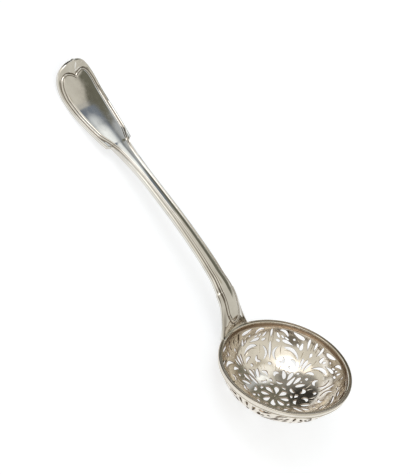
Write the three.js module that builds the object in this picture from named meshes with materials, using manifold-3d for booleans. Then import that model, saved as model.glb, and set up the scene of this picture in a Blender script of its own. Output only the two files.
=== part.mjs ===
import * as THREE from 'three';
import { mergeVertices } from 'three/addons/utils/BufferGeometryUtils.js';
import Module from 'manifold-3d';

// A silver sifter spoon: a round pierced bowl with a thread moulding round its lip, and a
// fiddle-thread handle whose foot is hard-soldered to the back of the bowl.
// Millimetres. The spoon is drawn with its lip level, the bowl on the origin and the handle
// towards -X, and is then tilted until it lies as it does on a table, on bowl and handle.

const wasm = await Module();
wasm.setup();

// Driving dimensions, bowl
const lipRadius = 31.6;          // outside of the moulding round the lip
const bowlDepth = 19.4;          // inside, from the lip to the middle of the floor
const bowlWall = 0.8;
const solderSeam = 0.3;          // clearance between pieces that are soldered together
const mouldingHeight = 3.0;
const mouldingThickness = 0.8;
const broadReed = 2.2;           // height of the upper reed, the rest is the fine one
const reedGroove = 0.3;          // depth of the groove between the two reeds of the moulding
const mouldingSides = 64;
const reedSteps = 3;             // straight pieces over each reed
const sideFullness = 2.6;        // how upright the bowl's side is
const floorFullness = 1.7;       // how flat the bowl's floor is
const bowlRings = 8;
const bowlSpokes = 6;

// Driving dimensions, handle
const terminalWidth = 25.3;
const terminalEnd = 16.5;        // from the tip to the widest place
const terminalFullness = 2.3;    // how blunt the end of the terminal is, 2 for an ellipse
const terminalLength = 46.5;     // from the tip to the shoulders
const terminalTaper = 1.75;      // how late the terminal narrows towards the shoulders
const shoulderWidth = 17;
const neckWidth = 11.7;
const neckLength = 23;           // from the shoulders to the narrowest place of the stem
const stemWidth = 7.8;
const stemEndWidth = 9.8;        // where the stem meets the lower shoulders
const footShoulderWidth = 12.4;
const footWidth = 20.2;          // at the lip
const footLength = 22.8;         // from the lower shoulders to the lip
const footFlare = 2.4;           // how late the foot widens towards the lip
const tongueLength = 8.5;        // below the lip, down the back of the bowl
const tongueWidth = 8;           // where the tongue begins to round off
const shoulderStep = 1;          // length of the small step at each shoulder
const tipWidth = 1.6;            // width of the small point at the middle of the tip
const terminalThickness = 2.6;
const shoulderThickness = 2.9;
const stemThickness = 3.5;
const footThickness = 2.3;
const tongueThickness = 1.3;
const terminalSquareness = 5;    // how square the section is, 2 for an ellipse
const stemSquareness = 2.7;
const squareBlend = 5;           // length over which one section turns into the other
const sectionPoints = 14;

// Course of the middle of the handle from its tip down to the lip, as distances out from the
// lip and up from it
const handleCourse = [
  [120.6, 80.0], [119.8, 74.6], [113.5, 67.6], [106.0, 62.9], [95.9, 58.2], [83.4, 53.2],
  [59.5, 43.5], [34.3, 31.7], [15.7, 20.8], [6.7, 13.0], [2.3, 5.8],
];

// Driving dimensions, thread lines of the handle: how far each lies in from the edge on
// terminal and stem, how far from the tip its lobes and cleft are, and from the lip its end
const threadDepth = 0.35;
const threadWidth = 0.7;
const threadSteps = 46;
const outerThread = { terminal: 1.35, stem: 1.1, lobeTop: 5.6, cleft: 8.0, toLip: 4.2 };
const innerThread = { terminal: 2.85, stem: 2.3, lobeTop: 6.9, cleft: 9.5, toLip: 5.8 };
const lobeCentre = 5.6;          // sideways distance of each lobe's top from the middle
const cleftRise = 0.6;           // share of the way from cleft to lobe where a lobe leaves it
const cleftAside = 0.33;
const lobeTurn = { early: 0.15, earlyAside: 0.55, late: 0.5, lateAside: 0.9 };
const tongueRound = 0.9;         // how far the tongue's end closes, 1 for a point
const tongueTaper = 0.8;         // share of the tongue over which its sides draw in

// Driving dimensions, piercing: arc lengths measured over the bowl from its middle
const piercingRepeat = 4;
const piercingTurn = 2;          // degrees by which the pattern is off the spoon's axis
const plainBand = 3.3;           // left whole between the lip and the outermost cuts
const drawnReach = 36.2;         // arc of the outermost cuts as drawn in the list of strokes
const cutMargin = 0.9;           // how far a cutter stands out of the wall on both sides
const strokeSteps = 3;           // straight pieces along each side of a cut

// Driving dimensions, rest
const wearDepth = 0.12;          // depth of the worn flats that the spoon lies on
const steepest = 60;             // degrees, more than the spoon can tip back

const degree = Math.PI / 180;
const mix = THREE.MathUtils.lerp;
const ease = THREE.MathUtils.smoothstep;

// Solids: three.js geometry to a solid that can be cut, and back
function solid(geometry) {
  const bare = geometry.clone();
  bare.deleteAttribute('normal');
  bare.deleteAttribute('uv');
  const merged = mergeVertices(bare, 1e-4);
  return new wasm.Manifold(new wasm.Mesh({
    numProp: 3,
    vertProperties: new Float32Array(merged.attributes.position.array),
    triVerts: new Uint32Array(merged.index.array),
  }));
}

function shell(body) {
  const mesh = body.getMesh();
  const geometry = new THREE.BufferGeometry();
  geometry.setAttribute('position', new THREE.BufferAttribute(mesh.vertProperties, 3));
  geometry.setIndex(new THREE.BufferAttribute(mesh.triVerts, 1));
  geometry.computeVertexNormals();
  return geometry;
}

// Bowl: the inside surface is the one that drives, as over a raising stake
const insideRadius = lipRadius - mouldingThickness - solderSeam - bowlWall;
const profileSteps = 240;

function insidePoint(share) {
  const radius = insideRadius * Math.sin(share * Math.PI / 2);
  const drop = (1 - (radius / insideRadius) ** sideFullness) ** (1 / floorFullness);
  return new THREE.Vector2(radius, -bowlDepth * drop);
}

const profile = Array.from({ length: profileSteps + 1 }, (_, i) => insidePoint(i / profileSteps));
const arcs = [0];
for (let i = 1; i <= profileSteps; i++) {
  arcs.push(arcs[i - 1] + profile[i].distanceTo(profile[i - 1]));
}
const lipArc = arcs[profileSteps];

// The point of the bowl's profile at an arc length from its middle, set off outwards
function bowlProfile(arc, offset) {
  const at = Math.min(arc, lipArc);
  let i = 1;
  while (i < profileSteps && arcs[i] < at) i++;
  const share = (at - arcs[i - 1]) / (arcs[i] - arcs[i - 1]);
  const place = profile[i - 1].clone().lerp(profile[i], share);
  const along = profile[i].clone().sub(profile[i - 1]).normalize();
  return place.add(new THREE.Vector2(along.y, -along.x).multiplyScalar(offset));
}

// One skin of the bowl: rings of points round the middle, each ring with the same number more
// than the last, so that its faces are all about one size
function bowlSkin(offset, rings, spokes) {
  const points = [new THREE.Vector3(0, 0, bowlProfile(0, offset).y)];
  const faces = [];
  let inner = [0];
  for (let ring = 1; ring <= rings; ring++) {
    const place = bowlProfile(lipArc * ring / rings, offset);
    const count = spokes * ring;
    const outer = [];
    for (let i = 0; i < count; i++) {
      const angle = 2 * Math.PI * i / count;
      outer.push(points.length);
      points.push(new THREE.Vector3(place.x * Math.cos(angle), place.x * Math.sin(angle), place.y));
    }
    for (let spoke = 0; spoke < spokes; spoke++) {
      for (let i = 0; i < ring; i++) {
        const a = outer[(spoke * ring + i) % count];
        const b = outer[(spoke * ring + i + 1) % count];
        const near = inner[(spoke * (ring - 1) + i) % inner.length];
        faces.push(a, b, near);
        if (i > 0) faces.push(a, near, inner[(spoke * (ring - 1) + i - 1) % inner.length]);
      }
    }
    inner = outer;
  }
  return { points, faces, rim: inner };
}

// A closed bowl-shaped body: its outer skin, its lip and either its inner skin or a flat lid
function bowlBody(innerOffset, outerOffset, rings, spokes) {
  const outside = bowlSkin(outerOffset, rings, spokes);
  for (const i of outside.rim) outside.points[i].z = 0;
  const points = outside.points;
  const faces = [];
  for (let i = 0; i < outside.faces.length; i += 3) {
    faces.push(outside.faces[i], outside.faces[i + 2], outside.faces[i + 1]);
  }
  const rim = outside.rim;
  if (innerOffset === null) {
    const middle = points.length;
    points.push(new THREE.Vector3());
    rim.forEach((a, i) => faces.push(middle, a, rim[(i + 1) % rim.length]));
  } else {
    const inside = bowlSkin(innerOffset, rings, spokes);
    const first = points.length;
    points.push(...inside.points);
    faces.push(...inside.faces.map((i) => first + i));
    inside.rim.forEach((a, i) => {
      const next = (i + 1) % rim.length;
      faces.push(rim[i], rim[next], first + a, rim[next], first + inside.rim[next], first + a);
    });
  }
  const geometry = new THREE.BufferGeometry().setFromPoints(points);
  geometry.setIndex(faces);
  return solid(geometry);
}

const bowlShell = bowlBody(0, bowlWall, bowlRings, bowlSpokes);

// Piercing: each cut is a stroke between two places, given as arc from the middle of the bowl
// and angle from the nearest axis of the pattern. It is widest at its fullest place and bent
// to its left by its bend. Strokes with a twin are mirrored in the axis.
const strokes = [
  // pinwheel of eight leaves at the middle, and the cuts between their tips
  { from: [1.6, -29], to: [6.9, -16], width: 1.9, fullest: 0.7, bend: -0.3 },
  { from: [1.6, 16], to: [6.9, 29], width: 1.9, fullest: 0.7, bend: -0.3 },
  { from: [7.4, -9], to: [7.2, 10], width: 0.9, fullest: 0.5, bend: -0.4 },
  { from: [7.6, 37], to: [7.7, 54], width: 0.9, fullest: 0.5, bend: -0.4 },
  { from: [9.2, 39], to: [11.1, 50], width: 1.3, fullest: 0.68, bend: 0 },
  // ring of hanging bows
  { from: [10.6, 13], to: [10.5, 32], width: 1.1, fullest: 0.5, bend: 1.0, twin: true },
  // inner fan on each axis
  { from: [9.9, 0], to: [17.0, 0], width: 1.3, fullest: 0.35, bend: 0 },
  { from: [12.5, 8], to: [18.3, 7.2], width: 1.4, fullest: 0.62, bend: 0, twin: true },
  { from: [12.3, 16], to: [17.2, 23], width: 1.5, fullest: 0.45, bend: -0.4, twin: true },
  { from: [12.3, 36.5], to: [14.9, 27], width: 1.4, fullest: 0.55, bend: 1.4, twin: true },
  { from: [19.0, 41.8], to: [19.2, 48.2], width: 1.3, fullest: 0.5, bend: 0 },
  // leaf and scrolls half way up
  { from: [22.6, 0], to: [27.0, 0], width: 1.4, fullest: 0.6, bend: 0 },
  { from: [20.4, 7.8], to: [23.1, 18.5], width: 1.2, fullest: 0.6, bend: -1.0, twin: true },
  { from: [20.4, 32.7], to: [23.4, 28.3], width: 1.3, fullest: 0.5, bend: -1.8, twin: true },
  { from: [20.9, 35.5], to: [27.8, 36], width: 1.0, fullest: 0.5, bend: 2.0, twin: true },
  { from: [20.6, 45], to: [30.2, 45], width: 1.1, fullest: 0.6, bend: 0 },
  { from: [24.2, 9], to: [27.7, 30], width: 1.3, fullest: 0.6, bend: -2.1, twin: true },
  // outer fan on each axis
  { from: [27.9, 0], to: [30.5, 0], width: 1.3, fullest: 0.6, bend: 0 },
  { from: [31.4, 0], to: [36.2, 0], width: 1.2, fullest: 0.7, bend: 0 },
  { from: [30.3, 5.3], to: [36.2, 7.4], width: 1.2, fullest: 0.65, bend: 0.4, twin: true },
  // leaves and scrolls under the plain band
  { from: [28.9, 12.2], to: [32.7, 12.8], width: 1.5, fullest: 0.3, bend: 0, twin: true },
  { from: [29.7, 19.8], to: [31.0, 33.4], width: 1.2, fullest: 0.7, bend: -0.3, twin: true },
  { from: [34.5, 12], to: [36.1, 25], width: 1.5, fullest: 0.35, bend: 0.1, twin: true },
  { from: [33.0, 28], to: [35.4, 38], width: 1.1, fullest: 0.45, bend: -1.3, twin: true },
  { from: [31.4, 45], to: [36.0, 45], width: 1.0, fullest: 0.6, bend: 0 },
];

const drawnScale = (lipArc - plainBand) / drawnReach;

function onMap([arc, angle]) {
  const direction = new THREE.Vector2(Math.cos(angle * degree), Math.sin(angle * degree));
  return direction.multiplyScalar(arc * drawnScale);
}

// Outline of a stroke on the flat map of the bowl
function strokeOutline({ from, to, width, fullest, bend }) {
  const start = onMap(from);
  const end = onMap(to);
  const along = end.clone().sub(start);
  const aside = new THREE.Vector2(-along.y, along.x).normalize();
  const power = Math.log(0.5) / Math.log(fullest);
  const left = [];
  const right = [];
  const steps = Math.round(strokeSteps);
  for (let i = 0; i <= steps; i++) {
    const share = i / steps;
    const middle = start.clone().addScaledVector(along, share);
    middle.addScaledVector(aside, 4 * bend * drawnScale * share * (1 - share));
    const run = along.clone().addScaledVector(aside, 4 * bend * drawnScale * (1 - 2 * share));
    const square = new THREE.Vector2(-run.y, run.x).normalize();
    const half = drawnScale * width / 2 * Math.sin(Math.PI * share ** power);
    left.push(middle.clone().addScaledVector(square, half));
    right.push(middle.clone().addScaledVector(square, -half));
  }
  return [...left.slice(0, -1), ...right.slice(1).reverse()];
}

// A place in the wall of the bowl, from a point of the flat map, and the wall's direction there
function onBowl(point, offset) {
  const angle = Math.atan2(point.y, point.x);
  const spot = bowlProfile(point.length(), offset);
  return new THREE.Vector3(spot.x * Math.cos(angle), spot.x * Math.sin(angle), spot.y);
}

// A cut is sawn square to the wall at its own middle
function cutter(outline) {
  const middle = outline.reduce((sum, point) => sum.add(point), new THREE.Vector2());
  middle.divideScalar(outline.length);
  const foot = onBowl(middle, -cutMargin);
  const outwards = onBowl(middle, bowlWall).sub(foot).normalize();
  const across = new THREE.Vector3(0, 1, 0).cross(outwards).normalize();
  const frame = new THREE.Matrix4().makeBasis(across, outwards.clone().cross(across), outwards);
  frame.setPosition(foot);
  const flat = frame.clone().invert();
  const shape = new THREE.Shape(outline.map((point) => {
    const spot = onBowl(point, bowlWall / 2).applyMatrix4(flat);
    return new THREE.Vector2(spot.x, spot.y);
  }));
  const prism = new THREE.ExtrudeGeometry(shape, {
    depth: bowlWall + 2 * cutMargin, steps: 1, bevelEnabled: false,
  });
  return solid(prism.applyMatrix4(frame));
}

const cutters = [];
for (let turn = 0; turn < piercingRepeat; turn++) {
  const quarter = 2 * Math.PI / piercingRepeat * turn + piercingTurn * degree;
  for (const stroke of strokes) {
    for (const side of stroke.twin ? [1, -1] : [1]) {
      const outline = strokeOutline(stroke).map((point) => new THREE.Vector2(point.x, side * point.y)
        .rotateAround(new THREE.Vector2(), quarter));
      cutters.push(cutter(outline));
    }
  }
}
const piercedBowl = cutters.reduce((body, cut) => body.subtract(cut), bowlShell);

// Moulding: a drawn strip of a broad and a fine reed round the lip, outside the bowl, open
// where the handle's foot takes its place
function mouldingBody() {
  const heights = [0, -mouldingHeight / 2, -mouldingHeight];
  const back = heights.map((z) => new THREE.Vector2(wallRadiusAt(z) + solderSeam, z));
  const face = [];
  for (const [foot, reed] of [[-mouldingHeight, mouldingHeight - broadReed], [-broadReed, broadReed]]) {
    for (let i = 0; i < reedSteps; i++) {
      const share = i / reedSteps;
      const z = foot + reed * share;
      const hollow = reedGroove * (1 - Math.sin(Math.PI * share));
      face.push(new THREE.Vector2(wallRadiusAt(z) + solderSeam + mouldingThickness - hollow, z));
    }
  }
  face.push(new THREE.Vector2(lipRadius - reedGroove, 0));
  const points = [...back, ...face];
  points.push(points[0].clone());
  const ring = new THREE.LatheGeometry(points, mouldingSides);
  ring.rotateX(Math.PI / 2);
  return solid(ring);
}

// Radius of the bowl's outside at a height below the lip
function wallRadiusAt(z) {
  let arc = lipArc;
  while (arc > 0 && bowlProfile(arc, bowlWall).y > z) arc -= 0.05;
  return bowlProfile(arc, bowlWall).x;
}

// Handle: closed rings of points, one at each station, joined into one skin. The stations are
// counted from the tip along the course. Below the lip the course follows the bowl's back.
const upper = handleCourse.map(([out, up]) => new THREE.Vector3(-lipRadius - out, 0, up));
const tonguePoints = spread(0, 1, 3).concat(1).map((share) => {
  const thick = mix(footThickness, tongueThickness, share);
  const place = bowlProfile(lipArc - tongueLength * share, bowlWall + solderSeam + thick / 2);
  return new THREE.Vector3(-place.x, 0, place.y);
});
tonguePoints[0].z = 0;
const course = new THREE.CatmullRomCurve3([...upper, ...tonguePoints], false, 'centripetal');
course.arcLengthDivisions = 600;
const courseLength = course.getLength();
const lipStation = courseLength - tongueLength;
const footStation = lipStation - footLength;
const neckStation = terminalLength + shoulderStep;
const stemStation = neckStation + neckLength;
const flareStation = footStation + shoulderStep;

function spread(from, to, count) {
  return Array.from({ length: count }, (_, i) => from + (to - from) * i / count);
}

// Width of the handle at a station
function handleWidth(station) {
  if (station < terminalEnd) {
    const share = 1 - station / terminalEnd;
    const round = (1 - share ** terminalFullness) ** (1 / terminalFullness);
    return Math.max(tipWidth, terminalWidth * round);
  }
  if (station < terminalLength) {
    const share = (station - terminalEnd) / (terminalLength - terminalEnd);
    return mix(terminalWidth, shoulderWidth, share ** terminalTaper);
  }
  if (station < neckStation) {
    return mix(shoulderWidth, neckWidth, (station - terminalLength) / shoulderStep);
  }
  if (station < stemStation) {
    const share = 1 - (station - neckStation) / neckLength;
    return mix(stemWidth, neckWidth, share ** 2);
  }
  if (station < footStation) {
    const share = (station - stemStation) / (footStation - stemStation);
    return mix(stemWidth, stemEndWidth, share ** 1.5);
  }
  if (station < flareStation) {
    return mix(stemEndWidth, footShoulderWidth, (station - footStation) / shoulderStep);
  }
  if (station < lipStation) {
    const share = (station - flareStation) / (lipStation - flareStation);
    return mix(footShoulderWidth, footWidth, share ** footFlare);
  }
  const share = Math.min(1, (station - lipStation) / tongueLength);
  const round = Math.sqrt(1 - tongueRound * share ** 4);
  return mix(footWidth, tongueWidth, Math.min(1, share / tongueTaper)) * round;
}

function handleThickness(station) {
  if (station < terminalLength) {
    return mix(terminalThickness, shoulderThickness, station / terminalLength);
  }
  if (station < footStation) {
    const grown = ease(station, terminalLength, terminalLength + neckLength);
    return mix(shoulderThickness, stemThickness, grown);
  }
  if (station < lipStation) {
    return mix(stemThickness, footThickness, (station - footStation) / footLength);
  }
  return mix(footThickness, tongueThickness, (station - lipStation) / tongueLength);
}

function handleSquareness(station) {
  const neck = ease(station, terminalLength - squareBlend, terminalLength + neckLength);
  const foot = ease(station, footStation - squareBlend, lipStation);
  return mix(mix(terminalSquareness, stemSquareness, neck), terminalSquareness, foot);
}

// Place on the handle: station, distance sideways and height over the middle of the section.
// Near the lip the section bends round the back of the bowl.
function handlePlace(station, aside, height) {
  const share = Math.min(1, Math.max(0, station / courseLength));
  const place = course.getPointAt(share);
  const along = course.getTangentAt(share);
  const wrap = ease(station, footStation, lipStation);
  const round = Math.max(-place.x, tongueWidth);
  const sag = round - Math.sqrt(round * round - aside * aside);
  place.x += wrap * sag - along.z * height;
  place.y = aside;
  place.z += along.x * height;
  return place;
}

function sectionRing(station) {
  const width = handleWidth(station);
  const thickness = handleThickness(station);
  const power = 2 / handleSquareness(station);
  return Array.from({ length: sectionPoints }, (_, i) => {
    const angle = 2 * Math.PI * (i + 0.5) / sectionPoints;
    const cos = Math.cos(angle);
    const sin = Math.sin(angle);
    const aside = width / 2 * Math.sign(cos) * Math.abs(cos) ** power;
    const height = thickness / 2 * Math.sign(sin) * Math.abs(sin) ** power;
    return handlePlace(station, aside, height);
  });
}

const stations = [
  ...spread(0, 1, 7).map((share) => terminalEnd * share * share),
  ...spread(terminalEnd, terminalLength, 8),
  ...spread(terminalLength, neckStation, 2),
  ...spread(neckStation, stemStation, 6),
  ...spread(stemStation, footStation, 13),
  ...spread(footStation, flareStation, 2),
  ...spread(flareStation, lipStation, 7),
  ...spread(lipStation, courseLength, 7),
  courseLength,
];

function skin(rings) {
  const count = rings[0].length;
  const points = rings.flat();
  const faces = [];
  for (let row = 0; row + 1 < rings.length; row++) {
    for (let i = 0; i < count; i++) {
      const next = (i + 1) % count;
      const a = row * count + i;
      const b = row * count + next;
      faces.push(a, b, a + count, b, b + count, a + count);
    }
  }
  for (const [row, turned] of [[0, true], [rings.length - 1, false]]) {
    const middle = points.length;
    const centre = rings[row].reduce((sum, point) => sum.add(point), new THREE.Vector3());
    points.push(centre.divideScalar(count));
    for (let i = 0; i < count; i++) {
      const a = row * count + i;
      const b = row * count + (i + 1) % count;
      faces.push(...(turned ? [middle, b, a] : [middle, a, b]));
    }
  }
  const geometry = new THREE.BufferGeometry().setFromPoints(points);
  geometry.setIndex(faces);
  return geometry;
}

const handleBlank = solid(skin(stations.map(sectionRing)));

// Thread lines: two grooves run round the front of the handle inside its edge. At the tip
// each makes two lobes that meet in a cleft, and at the foot each closes in a round end.
function threadAside(thread, station) {
  const inset = mix(thread.terminal, thread.stem, ease(station, terminalEnd, terminalLength));
  return Math.max(threadWidth, handleWidth(Math.min(station, footStation)) / 2 - inset);
}

function threadPoints(thread) {
  const sideStart = terminalEnd + 1;
  const sideAside = threadAside(thread, sideStart);
  const end = lipStation - thread.toLip;
  const lobeSide = (down, out) => [
    mix(thread.lobeTop, sideStart, down), mix(lobeCentre, sideAside, out),
  ];
  return [
    [thread.cleft, 0],
    [mix(thread.cleft, thread.lobeTop, cleftRise), cleftAside * lobeCentre],
    [thread.lobeTop, lobeCentre],
    lobeSide(lobeTurn.early, lobeTurn.earlyAside),
    lobeSide(lobeTurn.late, lobeTurn.lateAside),
    ...spread(sideStart, neckStation, 6).map((station) => [station, threadAside(thread, station)]),
    ...spread(neckStation, end, 24).map((station) => [station, threadAside(thread, station)]),
    [end, 0],
  ];
}

function threadCutter(thread, hand) {
  const path = threadPoints(thread).map(([station, aside]) => {
    return handlePlace(station, hand * aside, faceHeight(station, aside));
  });
  const half = threadWidth / 2;
  const section = new THREE.Shape([
    new THREE.Vector2(-threadDepth, 0), new THREE.Vector2(0, half),
    new THREE.Vector2(threadDepth, 0), new THREE.Vector2(0, -half),
  ]);
  const curve = new THREE.CatmullRomCurve3(path, false, 'centripetal');
  return solid(new THREE.ExtrudeGeometry(section, { steps: Math.round(threadSteps), extrudePath: curve }));
}

// Height of the front face over the middle of the section
function faceHeight(station, aside) {
  const power = handleSquareness(station);
  const share = Math.min(0.98, Math.abs(aside) / (handleWidth(station) / 2));
  return handleThickness(station) / 2 * (1 - share ** power) ** (1 / power);
}

const bowlRoom = bowlBody(null, bowlWall + solderSeam, bowlRings, 2 * bowlSpokes);
let handleBody = handleBlank.subtract(bowlRoom);
for (const thread of [outerThread, innerThread]) {
  for (const hand of [1, -1]) handleBody = handleBody.subtract(threadCutter(thread, hand));
}

// The moulding stops short of the handle's foot on both sides
function footRoom() {
  const block = new THREE.BoxGeometry(2 * lipRadius, footWidth + 2 * solderSeam, 4 * mouldingHeight);
  return solid(block.translate(-lipRadius, 0, 0));
}

const rimMoulding = mouldingBody().subtract(footRoom());

// Rest: the spoon tips back until bowl and handle touch the table together
function lowest(body, tilt) {
  const places = body.getMesh().vertProperties;
  let low = Infinity;
  for (let i = 0; i < places.length; i += 3) {
    low = Math.min(low, places[i + 2] * Math.cos(tilt) + places[i] * Math.sin(tilt));
  }
  return low;
}

let tooFlat = 0;
let tooSteep = steepest * degree;
while (tooSteep - tooFlat > 1e-9) {
  const tilt = (tooFlat + tooSteep) / 2;
  if (lowest(handleBody, tilt) > lowest(bowlShell, tilt)) tooFlat = tilt;
  else tooSteep = tilt;
}
const restTilt = (tooFlat + tooSteep) / 2;
const tableHeight = lowest(bowlShell, restTilt) + wearDepth;

// A block under the table's plane wears the flats that the spoon lies on
const blockLength = 8 * lipRadius;
const tableBlock = new THREE.BoxGeometry(2 * blockLength, blockLength, blockLength);
tableBlock.translate(0, 0, tableHeight - blockLength / 2);
const table = solid(tableBlock.rotateY(restTilt));

const silver = new THREE.MeshStandardMaterial({ color: 0xd9d4c8, roughness: 0.18, metalness: 1 });
const bowlSilver = new THREE.MeshStandardMaterial({ color: 0xd3ccbc, roughness: 0.25, metalness: 1 });
const mouldingSilver = new THREE.MeshStandardMaterial({ color: 0xddd7cb, roughness: 0.2, metalness: 1 });

function piece(name, body, material) {
  const mesh = new THREE.Mesh(shell(body), material);
  mesh.name = name;
  return mesh;
}

const spoon = new THREE.Group();
spoon.add(piece('pierced_bowl', piercedBowl.subtract(table), bowlSilver));
spoon.add(piece('rim_moulding', rimMoulding, mouldingSilver));
spoon.add(piece('handle', handleBody.subtract(table), silver));
spoon.rotation.y = -restTilt;

// The origin is under the middle of the spoon, on the table
const sifter = new THREE.Group();
sifter.add(spoon);
sifter.updateMatrixWorld(true);
const room = new THREE.Box3().setFromObject(sifter, true);
sifter.position.set(-(room.min.x + room.max.x) / 2, 0, -room.min.z);

export default sifter;
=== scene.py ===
"""A silver sifter spoon at rest on a pale table: pierced bowl, reeded lip, fiddle-thread handle."""

import math

import bmesh
import bpy
import numpy as np
from mathutils import Matrix, Vector, geometry, kdtree


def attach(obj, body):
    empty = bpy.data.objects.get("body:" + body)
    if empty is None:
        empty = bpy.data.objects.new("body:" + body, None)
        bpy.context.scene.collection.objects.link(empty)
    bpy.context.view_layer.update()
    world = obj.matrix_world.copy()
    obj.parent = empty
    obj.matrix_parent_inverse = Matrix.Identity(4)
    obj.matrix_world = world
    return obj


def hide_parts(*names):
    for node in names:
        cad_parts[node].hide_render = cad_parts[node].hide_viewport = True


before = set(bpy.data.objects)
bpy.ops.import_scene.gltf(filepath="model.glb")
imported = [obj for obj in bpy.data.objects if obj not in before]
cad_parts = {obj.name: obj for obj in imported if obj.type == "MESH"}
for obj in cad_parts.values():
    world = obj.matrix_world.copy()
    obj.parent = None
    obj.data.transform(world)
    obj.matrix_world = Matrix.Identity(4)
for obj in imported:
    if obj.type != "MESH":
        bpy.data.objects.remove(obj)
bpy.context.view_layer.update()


# Pierced bowl
# A round bowl of sheet silver, raised over a stake, sawn through with a lace of commas and
# engraved beside them by hand. Its mouth is drawn level round the origin, with the handle
# towards -X, in millimetres, and all pieces are then leaned back as the spoon lies at rest.
LEAN = math.radians(33.1429)
MOUTH = np.array([72.206, 0.0, 24.092])  # middle of the mouth over the table
INSIDE_RADIUS = 29.7
BOWL_DEPTH = 19.4
BOWL_WALL = 0.8
SIDE_FULLNESS = 2.6  # how upright the side is
FLOOR_FULLNESS = 1.7  # how flat the floor is
PROFILE_STEPS = 1500
LIP_ROUND = 0.16
PLAIN_BAND = 3.3  # left whole between the lip and the outermost cuts
DRAWN_REACH = 36.2  # arc of the outermost cuts as drawn in the list below
PATTERN_TURN = 2.0  # degrees by which the pattern is off the spoon's axis
CUT_BEVEL = 0.09
CUT_FULLNESS = 0.65  # less for blunter ends
FILED_WIDER = 1.26  # the cuts are filed wider than they were sawn
GRAVER_DEPTH = 0.13
GRAVER_WIDTH = 0.42
SKIN_PITCH = 0.95
INTO_WALL = 0.05  # how far what is soldered on reaches into the wall, so that no gap shows
SLOPE_REACH = 0.05  # mm either way, over which the slope of the bowl is taken
WORN_FLAT = 0.00002  # metres over the table, so that metal and table don't share a plane
# Brown band under the lip and its fade further down: tarnish, deepened into a painted amber reflection
BAND_TARNISH_AND_REFLECTION = 0.85
BAND_FADE = 0.8
BRIGHT_LIP = 0.3  # polished, before the band's tarnish and painted reflection begin
BRIGHT_LIP_FADE = 0.6
TARNISH_AND_REFLECTION_BELOW = 0.4
TARNISH_AND_REFLECTION_REACH = 11.0
FURROW_TARNISH = 0.35
CUT_TARNISH = 0.8
CUT_EDGE_TARNISH = 0.3  # round the cuts on the outside


def lean_back(points):
    """Turned from the level mouth to the bowl's lean at rest."""
    x, y, z = np.asarray(points, float).T
    return np.stack([
        x * math.cos(LEAN) - z * math.sin(LEAN),
        y,
        x * math.sin(LEAN) + z * math.cos(LEAN),
    ], axis=1)


def at_rest(points):
    """Millimetres over the level mouth to metres over the table."""
    return (lean_back(points) + MOUTH) / 1000


share = np.sin(np.linspace(0, math.pi / 2, PROFILE_STEPS))
bowl_radii = INSIDE_RADIUS * share
bowl_drops = -BOWL_DEPTH * np.clip(1 - share ** SIDE_FULLNESS, 0, 1) ** (1 / FLOOR_FULLNESS)
bowl_arcs = np.r_[0, np.cumsum(np.hypot(np.diff(bowl_radii), np.diff(bowl_drops)))]
lip_arc = bowl_arcs[-1]
drawn_scale = (lip_arc - PLAIN_BAND) / DRAWN_REACH


def bowl_place(flat, offset):
    """Points of the bowl's flat map, set off outwards from its inside, and the way out there."""
    flat = np.asarray(flat, float)
    arc = np.hypot(flat[:, 0], flat[:, 1])
    turn = np.arctan2(flat[:, 1], flat[:, 0])
    ends = np.clip([arc - SLOPE_REACH, arc + SLOPE_REACH], 0, lip_arc)
    run = np.diff(np.interp(ends, bowl_arcs, bowl_radii), axis=0)[0]
    rise = np.diff(np.interp(ends, bowl_arcs, bowl_drops), axis=0)[0]
    steep = np.hypot(run, rise)
    out_r, out_z = rise / steep, -run / steep
    radius = np.interp(arc, bowl_arcs, bowl_radii) + offset * out_r
    height = np.interp(arc, bowl_arcs, bowl_drops) + offset * out_z
    places = np.stack([radius * np.cos(turn), radius * np.sin(turn), height], axis=1)
    outwards = np.stack([out_r * np.cos(turn), out_r * np.sin(turn), out_z], axis=1)
    return places, outwards


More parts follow.
